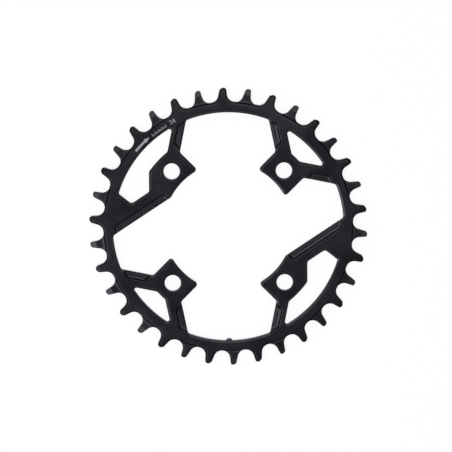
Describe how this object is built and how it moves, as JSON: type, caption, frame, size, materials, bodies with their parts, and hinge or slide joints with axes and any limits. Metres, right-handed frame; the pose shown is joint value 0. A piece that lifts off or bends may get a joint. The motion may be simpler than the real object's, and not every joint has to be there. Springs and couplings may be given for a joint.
{
  "type": "bicycle chainring",
  "caption": "Flat bicycle chainring with alternating thick and thin teeth, braced bolt tabs, open windows and relief pockets; bolts to a crank spider and drives the chain.",
  "frame": {"origin": "centre of the bolt circle, on the ring's axis, at the flat back face of the plate", "axes": "+Z along the ring's axis, out of the front face that has the relief pockets; +Y away from the alignment nub, +X to the right seen from the front"},
  "size_m": [0.1438, 0.144, 0.0038],
  "materials": {
    "black_anodised": "satin black anodised",
    "white_print": "thin matte white print on the rim"
  },
  "bodies": {
    "root": {"chainring": "black_anodised"}
  },
  "joints": []
}
